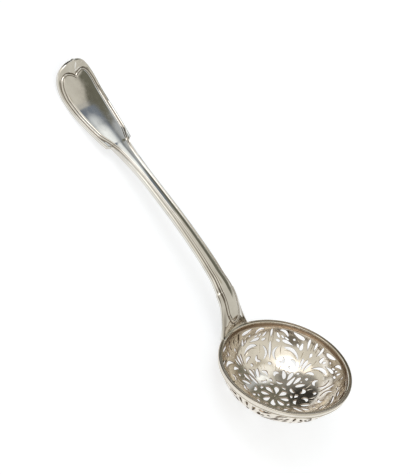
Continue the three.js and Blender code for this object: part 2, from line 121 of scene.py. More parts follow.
# Saw cuts: arc in mm and angle in degrees of both ends, width, where it is fullest, bend to
# the left, and whether it has a twin mirrored in the axis. All are cut four times round.
CUTS = [
    (1.6, -29, 6.9, -16, 1.9, 0.70, -0.3, False),
    (1.6, 16, 6.9, 29, 1.9, 0.70, -0.3, False),
    (7.4, -9, 7.2, 10, 0.9, 0.5, -0.4, False),
    (7.6, 37, 7.7, 54, 0.9, 0.5, -0.4, False),
    (9.2, 39, 11.1, 50, 1.3, 0.68, 0.0, False),
    (10.6, 13, 10.5, 32, 1.1, 0.5, 1.0, True),
    (9.9, 0, 17.0, 0, 1.3, 0.35, 0.0, False),
    (12.5, 8, 18.3, 7.2, 1.4, 0.62, 0.0, True),
    (12.3, 16, 17.2, 23, 1.5, 0.45, -0.4, True),
    (12.3, 36.5, 14.9, 27, 1.4, 0.55, 1.4, True),
    (16.1, 12.2, 17.0, 15.6, 0.7, 0.5, 0.0, True),
    (18.8, -2.4, 18.8, 2.4, 1.1, 0.5, 0.0, False),
    (18.6, 13.2, 19.9, 17.6, 1.3, 0.6, 0.0, True),
    (19.0, 41.8, 19.2, 48.2, 1.3, 0.5, 0.0, False),
    (20.8, 0, 27.0, 0, 1.4, 0.6, 0.0, False),
    (20.8, 3.8, 26.6, 5.6, 1.0, 0.6, -0.3, True),
    (20.4, 7.8, 23.1, 18.5, 1.2, 0.6, -1.0, True),
    (20.4, 32.7, 23.4, 28.3, 1.3, 0.5, -1.8, True),
    (20.9, 35.5, 27.8, 36, 1.0, 0.5, 2.0, True),
    (20.6, 45, 30.2, 45, 1.1, 0.6, 0.0, False),
    (24.2, 9, 27.7, 30, 1.3, 0.6, -2.1, True),
    (27.9, 0, 30.5, 0, 1.3, 0.6, 0.0, False),
    (28.9, 12.2, 32.7, 12.8, 1.5, 0.3, 0.0, True),
    (29.8, 14.6, 31.4, 18, 0.9, 0.45, 0.0, True),
    (29.7, 19.8, 31.0, 33.4, 1.2, 0.7, -0.3, True),
    (30.1, 34.8, 30.9, 40, 0.95, 0.45, 0.0, True),
    (30.3, 5.3, 36.2, 7.4, 1.2, 0.65, 0.4, True),
    (31.4, 0, 36.2, 0, 1.2, 0.7, 0.0, False),
    (31.4, 45, 36.0, 45, 1.0, 0.6, 0.0, False),
    (31.6, 26.5, 32.6, 31.3, 0.7, 0.5, 0.0, True),
    (31.8, 35.8, 34.4, 39.8, 0.95, 0.45, 0.2, True),
    (31.9, 31.6, 33.3, 35.2, 0.7, 0.5, 0.0, True),
    (32.0, 21.8, 33.3, 21.8, 1.2, 0.5, 0.0, True),
    (33.0, 28, 35.4, 38, 1.1, 0.45, -1.3, True),
    (34.5, 12, 36.1, 25, 1.5, 0.35, 0.1, True),
]
CUT_STEPS = 10
HUB_RADIUS = 0.5  # of the small round hole in the pinwheel's middle
HUB_CORNERS = 12


def stroke(start_arc, start_turn, end_arc, end_turn, bend, count):
    """The middle line of a stroke on the flat map, and the ways square to it, to its left."""
    arcs = np.array([start_arc, end_arc]) * drawn_scale
    turns = np.radians([start_turn, end_turn])
    ends = arcs[:, None] * np.stack([np.cos(turns), np.sin(turns)], axis=1)
    along = ends[1] - ends[0]
    left = np.array([-along[1], along[0]]) / np.hypot(*along)
    at = np.linspace(0, 1, count)[:, None]
    rise = 4 * bend * drawn_scale
    middle = ends[0] + along * at + left * (rise * at * (1 - at))
    ahead = along + left * (rise * (1 - 2 * at))
    square = np.stack([-ahead[:, 1], ahead[:, 0]], axis=1)
    return middle, square / np.linalg.norm(square, axis=1)[:, None]


def cut_outline(ends, width, fullest, bend):
    """The outline of a cut on the flat map, pointed at both ends."""
    middle, left = stroke(*ends, bend, CUT_STEPS + 1)
    at = np.linspace(0, 1, CUT_STEPS + 1)[:, None]
    power = math.log(0.5) / math.log(fullest)
    widest = drawn_scale * width / 2 * FILED_WIDER
    half = widest * np.clip(np.sin(math.pi * at ** power), 0, 1) ** CUT_FULLNESS + CUT_BEVEL
    half[[0, -1]] = 0
    return np.vstack([(middle - left * half)[:-1], (middle + left * half)[:0:-1]])


# Engraved lines, given as the cuts are, but without width and fullest place
ENGRAVED = [
    (15.9, 29.5, 19.6, 26.5, 0.4, True),
    (15.8, 35.5, 19.2, 37.0, -0.3, True),
    (18.8, 22.0, 21.8, 24.6, 0.3, True),
    (23.0, 9.8, 26.4, 29.5, -2.1, True),
    (23.9, 31.4, 28.6, 32.8, 0.3, True),
    (25.4, 7.4, 29.2, 8.4, 0.2, True),
    (28.6, 42.4, 35.8, 43.3, 0.0, True),
    (30.8, 2.6, 36.0, 3.2, 0.0, True),
    (31.9, 15.0, 33.3, 19.6, -0.2, True),
    (36.75, 1.0, 36.75, 44.0, -2.56, True),
]
GRAVER_STEPS = 12
GRAVER_SWELL = 0.7  # less for a line that keeps its width towards its ends


def quarter_turns(points, twin):
    """The points as drawn, and mirrored if they have a twin, four times round."""
    hands = [points]
    if twin:
        hands.append((points * [1, -1])[::-1])
    for hand in hands:
        for quarter in range(4):
            turn = math.radians(90 * quarter + PATTERN_TURN)
            c, s = math.cos(turn), math.sin(turn)
            yield hand @ np.array([[c, s], [-s, c]])


flat_points = []
flat_edges = []
cut_faces = []
graved = set()


def add_line(points, closed):
    """Adds a line to the flat map and gives the numbers of its points."""
    first = len(flat_points)
    flat_points.extend(points)
    count = len(points)
    for i in range(count if closed else count - 1):
        flat_edges.append((first + i, first + (i + 1) % count))
    return list(range(first, first + count))


hub_turns = np.linspace(0, 2 * math.pi, HUB_CORNERS, endpoint=False)
hub = HUB_RADIUS * np.stack([np.cos(hub_turns), np.sin(hub_turns)], axis=1)
cut_faces.append(add_line(hub, True))
for *ends, width, fullest, bend, twin in CUTS:
    for outline in quarter_turns(cut_outline(ends, width, fullest, bend), twin):
        cut_faces.append(add_line(outline, True))
for *ends, bend, twin in ENGRAVED:
    middle, left = stroke(*ends, bend, GRAVER_STEPS + 1)
    swell = np.sin(np.linspace(0, math.pi, GRAVER_STEPS + 1))[:, None] ** GRAVER_SWELL
    half = GRAVER_WIDTH / 2 * swell
    for side in (-1, 1):
        for edge in quarter_turns(middle + side * left * half, twin):
            add_line(edge, False)
    for bottom in quarter_turns(middle, twin):
        graved.update(add_line(bottom, False)[1:-1])

LIP_CORNERS = 300
RING_TURN = 0.3  # radians from ring to ring, so that the skin's points don't line up
CLEAR_OF_LINES = 0.42  # share of the pitch within which the skin's own points stay off the lines
lip_turns = np.linspace(0, 2 * math.pi, LIP_CORNERS, endpoint=False)
skin_edge = lip_arc - LIP_ROUND
lip_line = skin_edge * np.stack([np.cos(lip_turns), np.sin(lip_turns)], axis=1)
lip_ids = set(add_line(lip_line, True))

busy = kdtree.KDTree(len(flat_points))
for i, (x, y) in enumerate(flat_points):
    busy.insert((x, y, 0), i)
busy.balance()
rings = int(skin_edge / SKIN_PITCH)
for ring in range(1, rings):
    turns = 2 * math.pi * np.arange(6 * ring) / (6 * ring) + RING_TURN * ring
    for turn in turns:
        arc = ring * skin_edge / rings
        x, y = arc * math.cos(turn), arc * math.sin(turn)
        if busy.find((x, y, 0))[2] > CLEAR_OF_LINES * SKIN_PITCH:
            flat_points.append((x, y))

cdt = geometry.delaunay_2d_cdt([Vector(p) for p in flat_points], flat_edges, cut_faces, 0, 1e-5)
flat = np.array([tuple(p) for p in cdt[0]])
metal = [tuple(face) for face, cuts in zip(cdt[2], cdt[5]) if not cuts]
furrow = np.array([1.0 if graved.intersection(ids) else 0.0 for ids in cdt[3]])
on_lip = np.array([bool(lip_ids.intersection(ids)) for ids in cdt[3]])

uses = {}
for face in metal:
    for a, b in zip(face, face[1:] + face[:1]):
        uses.setdefault(frozenset((a, b)), []).append((a, b))
rims = [pairs[0] for pairs in uses.values() if len(pairs) == 1]
into_hole = np.zeros_like(flat)
for a, b in rims:
    along = flat[b] - flat[a]
    outward = np.array([along[1], -along[0]]) / max(np.hypot(*along), 1e-9)
    into_hole[a] += outward
    into_hole[b] += outward
into_hole /= np.maximum(np.linalg.norm(into_hole, axis=1), 1e-9)[:, None]
cut_flat = flat + into_hole * CUT_BEVEL
count = len(flat)

# Four layers from the inside out: the inner skin, both ends of the cuts' walls, the outer skin
layers = [
    bowl_place(flat, furrow * GRAVER_DEPTH),
    bowl_place(cut_flat, np.full(count, CUT_BEVEL)),
    bowl_place(cut_flat, np.full(count, BOWL_WALL - CUT_BEVEL)),
    bowl_place(flat, BOWL_WALL - furrow * GRAVER_DEPTH),
]
around_lip = flat[on_lip] / np.linalg.norm(flat[on_lip], axis=1)[:, None]
for layer, radius in ((layers[1], INSIDE_RADIUS + LIP_ROUND),
                      (layers[2], INSIDE_RADIUS + BOWL_WALL - LIP_ROUND)):
    layer[0][on_lip, :2] = around_lip * radius
    layer[0][on_lip, 2] = 0
bowl_points = np.vstack([places for places, _ in layers])
bowl_faces = metal + [tuple(i + 3 * count for i in reversed(face)) for face in metal]
for a, b in rims:
    for low in (0, count, 2 * count):
        high = low + count
        bowl_faces.append((b + low, a + low, a + high, b + high))


def make_piece(name, points, faces):
    """A smooth mesh from millimetres over the level mouth, worn flat where it meets the table."""
    mesh = bpy.data.meshes.new(name)
    places = at_rest(points)
    places[:, 2] = np.maximum(places[:, 2], WORN_FLAT)
    mesh.from_pydata([tuple(p) for p in places], [], faces)
    mesh.validate()
    piece = bpy.data.objects.new(name, mesh)
    bpy.context.scene.collection.objects.link(piece)
    mesh.polygons.foreach_set("use_smooth", [True] * len(mesh.polygons))
    return piece


bowl = make_piece("raised_pierced_bowl", bowl_points, bowl_faces)
mesh = bowl.data

# Both skins are shaded as the curve of the bowl runs, the cuts and furrows by their own facets
skin_normals = {0: lean_back(-layers[0][1]), 3: lean_back(layers[3][1])}
loop_normals = []
for polygon in mesh.polygons:
    corners = list(polygon.vertices)
    layer = {i // count for i in corners}
    flat_skin = len(layer) == 1 and not any(furrow[i % count] for i in corners)
    for i in corners:
        if flat_skin:
            loop_normals.append(tuple(skin_normals[i // count][i % count]))
        else:
            loop_normals.append(tuple(polygon.normal))
mesh.normals_split_custom_set(loop_normals)

# How dark the silver is: tarnish on the walls of the cuts and in furrows, and below the lip tarnish
# deepened into a painted amber reflection
on_cut = np.linalg.norm(into_hole, axis=1) * ~on_lip
below_lip = lip_arc - np.hypot(*flat.T)
band = np.clip((PLAIN_BAND - below_lip) / BAND_FADE, 0, 1)
band = band * np.clip((below_lip - BRIGHT_LIP) / BRIGHT_LIP_FADE, 0, 1)
fading = np.clip(1 - (below_lip - PLAIN_BAND) / TARNISH_AND_REFLECTION_REACH, 0, 1) ** 2
tarnish_and_reflection_film = np.maximum(BAND_TARNISH_AND_REFLECTION * band, TARNISH_AND_REFLECTION_BELOW * fading * (below_lip > PLAIN_BAND))
on_walls = CUT_TARNISH * on_cut
bowl_tarnish_and_reflection = np.concatenate([tarnish_and_reflection_film, on_walls, on_walls, CUT_EDGE_TARNISH * on_cut])
bowl_tarnish_and_reflection = np.maximum(bowl_tarnish_and_reflection, FURROW_TARNISH * np.tile(furrow, 4))
# Tarnish in the cuts and furrows, and the band under the lip painted darker for its amber reflection
dark = mesh.attributes.new("tarnish_and_painted_reflection", "FLOAT", "POINT")
dark.data.foreach_set("value", bowl_tarnish_and_reflection)


def linear(hex_colour):
    """An sRGB hex colour as linear red, green, blue and alpha."""
    channels = [int(hex_colour[i:i + 2], 16) / 255 for i in (1, 3, 5)]
    return [c / 12.92 if c <= 0.04045 else ((c + 0.055) / 1.055) ** 2.4 for c in channels] + [1]


def node(material, kind, settings=(), values=(), links=()):
    """Adds a node, with its settings, the values of its sockets and links to them."""
    made = material.node_tree.nodes.new(kind)
    for name, value in dict(settings).items():
        setattr(made, name, value)
    for name, value in dict(values).items():
        made.inputs[name].default_value = value
    for name, source in dict(links).items():
        material.node_tree.links.new(source, made.inputs[name])
    return made


STAIN_SIZE = 9.0  # mm across the clouds of an old stain
STAIN = 0.22
WEAR_SIZE = 1.8  # mm, coarser than real polishing scratches, which wouldn't show
LEAST_WORN, MOST_WORN = 0.5, 1.7  # times the mean roughness


def silver(name, clean, tarnish_and_reflection_colour, roughness, ripple, ripple_height):
    """Silver, clean on open faces, darker by its attribute: tarnish where no polish comes, and painted
    reflection under the bowl's lip and on the foot's flanks, with a ripple given in mm.
    """
    material = bpy.data.materials.new(name)
    material.use_nodes = True
    shader = material.node_tree.nodes["Principled BSDF"]
    place = node(material, "ShaderNodeTexCoord").outputs["Object"]
    tarnish_and_painted_reflection = node(material, "ShaderNodeAttribute", {"attribute_name": "tarnish_and_painted_reflection"}).outputs["Fac"]
    clouds = node(material, "ShaderNodeTexNoise", values={"Scale": 1000 / STAIN_SIZE, "Detail": 3},
                  links={"Vector": place}).outputs["Fac"]
    stain = node(material, "ShaderNodeMapRange",
                 values={"From Min": 0.45, "From Max": 0.8, "To Max": STAIN},
                 links={"Value": clouds}).outputs["Result"]
    # Tarnish and painted reflection from the attribute, together with the stain clouds
    darkening = node(material, "ShaderNodeMath", {"operation": "MAXIMUM"}, links={0: tarnish_and_painted_reflection, 1: stain})
    colour = node(material, "ShaderNodeMix", {"data_type": "RGBA"},
                  {6: linear(clean), 7: linear(tarnish_and_reflection_colour)}, {0: darkening.outputs[0]})
    wear = node(material, "ShaderNodeTexNoise", values={"Scale": 1000 / WEAR_SIZE, "Detail": 4},
                links={"Vector": place}).outputs["Fac"]
    rough = node(material, "ShaderNodeMapRange",
                 values={"From Min": 0.3, "From Max": 0.7, "To Min": roughness * LEAST_WORN,
                         "To Max": roughness * MOST_WORN},
                 links={"Value": wear}).outputs["Result"]
    waves = node(material, "ShaderNodeTexNoise", values={"Scale": 1000 / ripple, "Detail": 1},
                 links={"Vector": place}).outputs["Fac"]
    bump = node(material, "ShaderNodeBump", values={"Distance": ripple_height / 1000},
                links={"Height": waves}).outputs["Normal"]
    link = material.node_tree.links.new
    link(colour.outputs[2], shader.inputs["Base Color"])
    link(rough, shader.inputs["Roughness"])
    link(bump, shader.inputs["Normal"])
    shader.inputs["Metallic"].default_value = 1
    return material


# 950 silver, raised with a hammer and burnished: a soft, slightly wavy mirror, brown on the walls of
# the cuts, where no polish comes, and under the lip, where tarnish is deepened into a painted amber
# reflection
burnished = silver("raised_burnished_silver", "#EFE9DE", "#6B4E2C", 0.13, 9.0, 0.08)
mesh.materials.append(burnished)
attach(bowl, "root")
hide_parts("pierced_bowl")


# Moulding round the lip
# A drawn silver strip with a broad and a fine reed, bent round the outside of the lip and
# hard-soldered to it. It stops on both sides of the handle's foot.
LIP_RADIUS = 31.6
MOULDING_HEIGHT = 3.0
BROAD_REED = 2.2
FINE_REED = MOULDING_HEIGHT - BROAD_REED
REED_GROOVE = 0.3
BROAD_BULGE = 0.5  # less for a reed that stands up more steeply
FINE_BULGE = 0.75
BROKEN_CORNER = 0.1
GROOVE_TARNISH = 1.8  # more for tarnish that comes further up the reeds
FOOT_HALF = 10.15  # from the spoon's middle to where the moulding stops at the foot
MOULDING_STEPS = 220
WALL_BELOW_LIP = 8.0
WALL_STEPS = 400

wall_arcs = np.linspace(lip_arc - WALL_BELOW_LIP, lip_arc, WALL_STEPS)
wall_plan = np.stack([wall_arcs, 0 * wall_arcs], axis=1)
wall_line, _ = bowl_place(wall_plan, np.full(WALL_STEPS, BOWL_WALL))


def wall_radius(height):
    """Radius of the bowl's outside at a height under the lip."""
    return np.interp(height, wall_line[:, 2], wall_line[:, 0])


fine_rise = np.linspace(0, 1, 11)
broad_rise = np.linspace(0, 1, 19)[1:]
heights = np.r_[-MOULDING_HEIGHT + FINE_REED * fine_rise, -BROAD_REED + BROAD_REED * broad_rise]
bulges = np.repeat([FINE_BULGE, BROAD_BULGE], [len(fine_rise), len(broad_rise)])
reeds = np.sin(math.pi * np.r_[fine_rise, broad_rise]) ** bulges
face_radii = wall_radius(heights) + LIP_RADIUS - INSIDE_RADIUS - BOWL_WALL
face_radii -= REED_GROOVE * (1 - reeds)
face_radii[[0, -1]] -= BROKEN_CORNER
back_heights = heights[::-6]
section = np.vstack([
    np.stack([face_radii, heights], axis=1),
    np.stack([wall_radius(back_heights) - INTO_WALL, back_heights], axis=1),
])
section_recess = np.r_[np.clip(1 - GROOVE_TARNISH * reeds, 0, 1), np.ones(len(back_heights))]
section_recess[len(heights) - 1] = 0
moulding_points = []
for step in np.linspace(-1, 1, MOULDING_STEPS + 1):
    for radius, height in section:
        turn = step * (math.pi - math.asin(FOOT_HALF / radius))
        moulding_points.append((radius * math.cos(turn), radius * math.sin(turn), height))
ring_size = len(section)
moulding_faces = []
for step in range(MOULDING_STEPS):
    for i in range(ring_size):
        a = step * ring_size + i
        b = step * ring_size + (i + 1) % ring_size
        moulding_faces.append((a, a + ring_size, b + ring_size, b))
moulding_faces.append(tuple(range(ring_size)))
moulding_faces.append(tuple(reversed(range(MOULDING_STEPS * ring_size, len(moulding_points)))))
moulding = make_piece("reeded_lip_moulding", moulding_points, moulding_faces)
dark = moulding.data.attributes.new("tarnish_and_painted_reflection", "FLOAT", "POINT")
dark.data.foreach_set("value", np.tile(section_recess, MOULDING_STEPS + 1))

# 950 silver, drawn through a shaped plate and polished: bright reeds, brown groove
moulding.data.materials.append(
    silver("drawn_polished_silver", "#E3DDD2", "#6B5236", 0.14, 6.0, 0.02))
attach(moulding, "root")
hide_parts("rim_moulding")


# Handle
# One forged piece of silver, struck between dies: fiddle-shaped terminal with a double thread
# round it, shoulders, stem, and a foot that is soldered to the back of the bowl.
TERMINAL_WIDTH = 25.3
TERMINAL_END = 16.5  # from the tip to the widest place
TERMINAL_FULLNESS = 2.3  # how blunt the end is, 2 for an ellipse
TERMINAL_LENGTH = 46.5  # from the tip to the shoulders
TERMINAL_TAPER = 1.75  # more to keep its width for longer, and so for the stem and the foot
SHOULDER_WIDTH = 17.0
NECK_WIDTH = 11.7
NECK_LENGTH = 23.0
STEM_WIDTH = 7.8
STEM_END_WIDTH = 9.8
STEM_TAPER = 1.5
FOOT_SHOULDER_WIDTH = 12.4
FOOT_WIDTH = 20.2
FOOT_LENGTH = 20.4
FOOT_FLARE = 2.2
SHOULDER_SWELL = 1.4  # how much the stem widens just before the foot's shoulders
SWELL_LENGTH = 8.0
TONGUE_LENGTH = 8.5
TONGUE_WIDTH = 8.0
TONGUE_TAPER = 0.8  # share of its length over which the tongue narrows
TONGUE_ROUND = 0.98  # how round its end is
SHOULDER_STEP = 0.5
TERMINAL_THICKNESS = 2.6
SHOULDER_THICKNESS = 2.9
STEM_THICKNESS = 3.5
FOOT_THICKNESS = 2.3
TONGUE_THICKNESS = 1.3
TERMINAL_SQUARENESS = 5.0  # how square the section is, 2 for an ellipse
STEM_SQUARENESS = 2.7
SQUARE_BLEND = 5.0
WRAP_LENGTH = 12.0  # over which the foot bends round the bowl
HANDLE_COURSE = [  # the middle of the handle, from the tip: out from the lip, up from the mouth
    (120.6, 80.0), (119.8, 74.6), (113.5, 67.6), (106.0, 62.9), (95.9, 58.2), (83.4, 53.2),
    (59.5, 43.5), (34.3, 31.7), (15.7, 20.8), (6.7, 13.0), (2.3, 5.8),
]
COURSE_REACH = 0.2  # mm either way, over which the course's direction is taken
SOLDER_SEAM = 0.3

course_points = [(-LIP_RADIUS - out, up) for out, up in HANDLE_COURSE]
for drop in (0, 1 / 3, 2 / 3, 1):
    thick = FOOT_THICKNESS + (TONGUE_THICKNESS - FOOT_THICKNESS) * drop
    arc = lip_arc - TONGUE_LENGTH * drop
    spot, _ = bowl_place([(arc, 0)], BOWL_WALL + SOLDER_SEAM + thick / 2)
    course_points.append((-spot[0, 0], spot[0, 2] if drop else 0.0))


def smooth_line(points, per_span):
    """A smooth line through the points, which doesn't swing out where they lie close."""
    points = np.asarray(points, float)
    padded = np.vstack([2 * points[0] - points[1], points, 2 * points[-1] - points[-2]])
    line = []
    for p0, p1, p2, p3 in zip(padded, padded[1:], padded[2:], padded[3:]):
        k0, k1, k2 = (math.sqrt(max(np.hypot(*(b - a)), 1e-6))
                      for a, b in ((p0, p1), (p1, p2), (p2, p3)))
        t1 = ((p1 - p0) / k0 - (p2 - p0) / (k0 + k1) + (p2 - p1) / k1) * k1
        t2 = ((p2 - p1) / k1 - (p3 - p1) / (k1 + k2) + (p3 - p2) / k2) * k1
        u = np.linspace(0, 1, per_span, endpoint=False)[:, None]
        line.append(p1 + t1 * u + (3 * (p2 - p1) - 2 * t1 - t2) * u ** 2
                    + (2 * (p1 - p2) + t1 + t2) * u ** 3)
    return np.vstack(line + [points[-1:]])


course = smooth_line(course_points, 60)
course_at = np.r_[0, np.cumsum(np.hypot(*np.diff(course, axis=0).T))]
course_length = course_at[-1]
lip_station = course_length - TONGUE_LENGTH
foot_station = lip_station - FOOT_LENGTH
neck_station = TERMINAL_LENGTH + SHOULDER_STEP


def ease(value, start, end):
    """0 before the start, 1 after the end, and a smooth rise between them."""
    share = np.clip((value - start) / (end - start), 0, 1)
    return share * share * (3 - 2 * share)


def handle_width(station):
    """Width of the handle at a station, counted from its tip."""
    s = np.asarray(station, float)
    end = np.clip(1 - s / TERMINAL_END, 0, 1)
    width = TERMINAL_WIDTH * (1 - end ** TERMINAL_FULLNESS) ** (1 / TERMINAL_FULLNESS)
    down = np.clip((s - TERMINAL_END) / (TERMINAL_LENGTH - TERMINAL_END), 0, 1)
    width = width - (TERMINAL_WIDTH - SHOULDER_WIDTH) * down ** TERMINAL_TAPER
    width = width - (SHOULDER_WIDTH - NECK_WIDTH) * np.clip((s - TERMINAL_LENGTH) / SHOULDER_STEP, 0, 1)
    neck = np.clip((s - neck_station) / NECK_LENGTH, 0, 1)
    width = width - (NECK_WIDTH - STEM_WIDTH) * (1 - (1 - neck) ** 2)
    stem_start = neck_station + NECK_LENGTH
    stem = np.clip((s - stem_start) / (foot_station - stem_start), 0, 1)
    width = width + (STEM_END_WIDTH - STEM_WIDTH) * stem ** STEM_TAPER
    width = width + SHOULDER_SWELL * ease(s, foot_station - SWELL_LENGTH, foot_station)
    step = np.clip((s - foot_station) / SHOULDER_STEP, 0, 1)
    width = width + (FOOT_SHOULDER_WIDTH - STEM_END_WIDTH - SHOULDER_SWELL) * step
    flare = np.clip((s - foot_station - SHOULDER_STEP) / (FOOT_LENGTH - SHOULDER_STEP), 0, 1)
    width = width + (FOOT_WIDTH - FOOT_SHOULDER_WIDTH) * flare ** FOOT_FLARE
    tongue = np.clip((s - lip_station) / TONGUE_LENGTH, 0, 1)
    narrowed = FOOT_WIDTH + (TONGUE_WIDTH - FOOT_WIDTH) * np.clip(tongue / TONGUE_TAPER, 0, 1)
    return np.where(s > lip_station, narrowed * np.sqrt(1 - TONGUE_ROUND * tongue ** 4), width)


def handle_thickness(station):
    """Thickness of the handle at a station, counted from its tip."""
    s = np.asarray(station, float)
    down = np.clip(s / TERMINAL_LENGTH, 0, 1)
    thick = TERMINAL_THICKNESS + (SHOULDER_THICKNESS - TERMINAL_THICKNESS) * down
    neck = ease(s, TERMINAL_LENGTH, TERMINAL_LENGTH + NECK_LENGTH)
    thick = thick + (STEM_THICKNESS - SHOULDER_THICKNESS) * neck
    foot = np.clip((s - foot_station) / FOOT_LENGTH, 0, 1)
    thick = thick + (FOOT_THICKNESS - STEM_THICKNESS) * foot
    tongue = np.clip((s - lip_station) / TONGUE_LENGTH, 0, 1)
    return thick + (TONGUE_THICKNESS - FOOT_THICKNESS) * tongue


def handle_squareness(station):
    """The terminal and the lip end of the foot are nearly square in section, the stem oval."""
    neck = ease(station, TERMINAL_LENGTH - SQUARE_BLEND, TERMINAL_LENGTH + NECK_LENGTH)
    foot = ease(station, lip_station - SQUARE_BLEND, lip_station)
    square = TERMINAL_SQUARENESS + (STEM_SQUARENESS - TERMINAL_SQUARENESS) * neck
    return square + (TERMINAL_SQUARENESS - square) * foot


def handle_place(plan, height):
    """Points of the handle from station and distance sideways, and height over its middle."""
    station, aside = plan[:, 0], plan[:, 1]
    at = np.clip(station, 0, course_length)
    x = np.interp(at, course_at, course[:, 0])
    z = np.interp(at, course_at, course[:, 1])
    ends = np.clip([at - COURSE_REACH, at + COURSE_REACH], 0, course_length)
    along_x = np.diff(np.interp(ends, course_at, course[:, 0]), axis=0)[0]
    along_z = np.diff(np.interp(ends, course_at, course[:, 1]), axis=0)[0]
    size = np.hypot(along_x, along_z)
    along_x, along_z = along_x / size, along_z / size
    wrap = ease(at, lip_station - WRAP_LENGTH, lip_station)
    around = np.maximum(-x, TONGUE_WIDTH)
    sag = around - np.sqrt(np.maximum(around ** 2 - aside ** 2, 0))
    beyond = np.minimum(station, 0)
    return np.stack([x + wrap * sag - along_z * height + along_x * beyond, aside,
                     z + along_x * height + along_z * beyond], axis=1)


# The front is laid out in strips between four lines that run from the middle of the tip, down
# one side, to the middle of the foot: edge, outer thread, inner thread and middle. Each is
# given at the same landmarks, so that the strips between them stay square to the threads.
OUTER_INSET = (1.35, 1.3)  # on terminal and stem
INNER_INSET = (2.85, 2.4)
OUTER_GROOVE = (0.8, 0.35)  # width and depth
INNER_GROOVE = (0.5, 0.2)
OUTER_LOBE, OUTER_CLEFT, OUTER_STOP = 5.6, 8.1, 4.2  # from the tip, the tip and the lip
INNER_LOBE, INNER_CLEFT, INNER_STOP = 6.85, 9.5, 5.8
LOBE_ASIDE = 5.6
LOBE_RISE = (0.6, 0.33)  # a point between cleft and lobe: shares of the way down and sideways
LOBE_FALL = ((0.15, 0.55), (0.5, 0.9))  # two points between the lobe and the side
NIB = 0.4  # how far the small point at the middle of the tip stands out
NIB_HALF = 0.7
NIB_REACH = 1.0
CLEFT_RIDGE = 0.3  # height of the small ridge from the tip to the threads' cleft
CLEFT_RIDGE_HALF = 0.8
CROWN = 0.5  # how far the front falls off towards its edges
FOOT_RISE = 1.0  # how much fuller the foot's front is than its section gives
FOOT_PAINTED_REFLECTION = 0.5  # painted reflection: a dark band along the foot's flanks, where the curved flank mirrors something dark
ROUND_END_LENGTH = 1.6  # of the threads at the foot, as a share of their half width
SHARP_EDGE = 50  # degrees between faces, from which an edge shows
WORN_THREAD = 0.55  # share of its tarnish that a thread has lost on the upper stem
EDGE_STATION = TERMINAL_END + 1
LANDMARKS = [0, 0.05, 0.10, 0.20, 0.50, 0.84, 0.94, 1]  # as shares of each line's points
LINE_POINTS = 420
SWEEP_FROM = 7.0  # before the shoulders, where the threads begin to leave the edge
SWEEP_TO = 4.0  # past them

# Stations down the side, close together where the outline steps
long_stations = np.r_[
    np.linspace(EDGE_STATION, TERMINAL_LENGTH - 1, 40),
    np.linspace(TERMINAL_LENGTH - 0.8, neck_station + 1.2, 12),
    np.linspace(neck_station + 1.6, foot_station - 1, 60),
    np.linspace(foot_station - 0.8, foot_station + 1.2, 12),
]


def thread_aside(station, inset):
    """How far a thread lies from the middle: it passes the shoulders in a smooth sweep."""
    on_terminal = handle_width(np.minimum(station, TERMINAL_LENGTH)) / 2 - inset[0]
    on_stem = handle_width(np.clip(station, neck_station + 0.1, foot_station)) / 2 - inset[1]
    pass_over = ease(station, TERMINAL_LENGTH - SWEEP_FROM, neck_station + SWEEP_TO)
    return on_terminal + (on_stem - on_terminal) * pass_over


def thread_line(inset, lobe, cleft, stop):
    """A thread from its cleft at the tip, over a lobe, down the side and round at the foot."""
    start_aside = thread_aside(EDGE_STATION, inset)
    lobe_points = smooth_line([
        (cleft, 0.0),
        (cleft + LOBE_RISE[0] * (lobe - cleft), LOBE_RISE[1] * LOBE_ASIDE),
        (lobe, LOBE_ASIDE),
        *((lobe + down * (EDGE_STATION - lobe), LOBE_ASIDE + out * (start_aside - LOBE_ASIDE))
          for down, out in LOBE_FALL),
        (EDGE_STATION, start_aside),
    ], 24)
    turn_radius = float(thread_aside(foot_station, inset))
    turn_start = lip_station - stop - ROUND_END_LENGTH * turn_radius
    bend = np.linspace(0, math.pi / 2, 24)
    round_end = np.stack([turn_start + ROUND_END_LENGTH * turn_radius * np.sin(bend),
                          turn_radius * np.cos(bend)], axis=1)
    late = np.linspace(foot_station + 1.6, turn_start, 20)[:-1]
    stations = np.r_[long_stations, late]
    side = np.stack([stations, thread_aside(stations, inset)], axis=1)
    return np.vstack([lobe_points[:-1], side, round_end])


def edge_line(round_tongue):
    """The outline from the tip to the foot's corner, then round the tongue or along the lip."""
    sweep = np.linspace(0, 1, 60)[1:] ** 2
    tip = TERMINAL_END * sweep
    down = np.r_[long_stations, np.linspace(foot_station + 1.6, lip_station, 24)]
    stations = np.r_[tip[:-1], TERMINAL_END, down]
    outline = np.stack([stations, handle_width(stations) / 2], axis=1)
    if round_tongue:
        tongue = np.sin(np.linspace(0, math.pi / 2, 30))[1:] * TONGUE_LENGTH + lip_station
        last = np.stack([tongue, handle_width(tongue) / 2], axis=1)
        last[-1, 1] = 0
    else:
        across = np.linspace(1, 0, 16)[1:] * FOOT_WIDTH / 2
        last = np.stack([lip_station + 0 * across, across], axis=1)
    return np.vstack([[(0.0, 0.0)], outline, last])


def resample(line, marks):
    """The line with its points shared out between the marks as the landmarks say."""
    run = np.r_[0, np.cumsum(np.hypot(*np.diff(line, axis=0).T))]
    at_marks = [0]
    for station, aside in marks:
        nearest = np.argmin(np.hypot(line[:, 0] - station, line[:, 1] - aside))
        at_marks.append(run[nearest])
    at_marks.append(run[-1])
    wanted = np.interp(np.linspace(0, 1, LINE_POINTS), LANDMARKS, at_marks)
    return np.stack([np.interp(wanted, run, line[:, 0]), np.interp(wanted, run, line[:, 1])], axis=1)


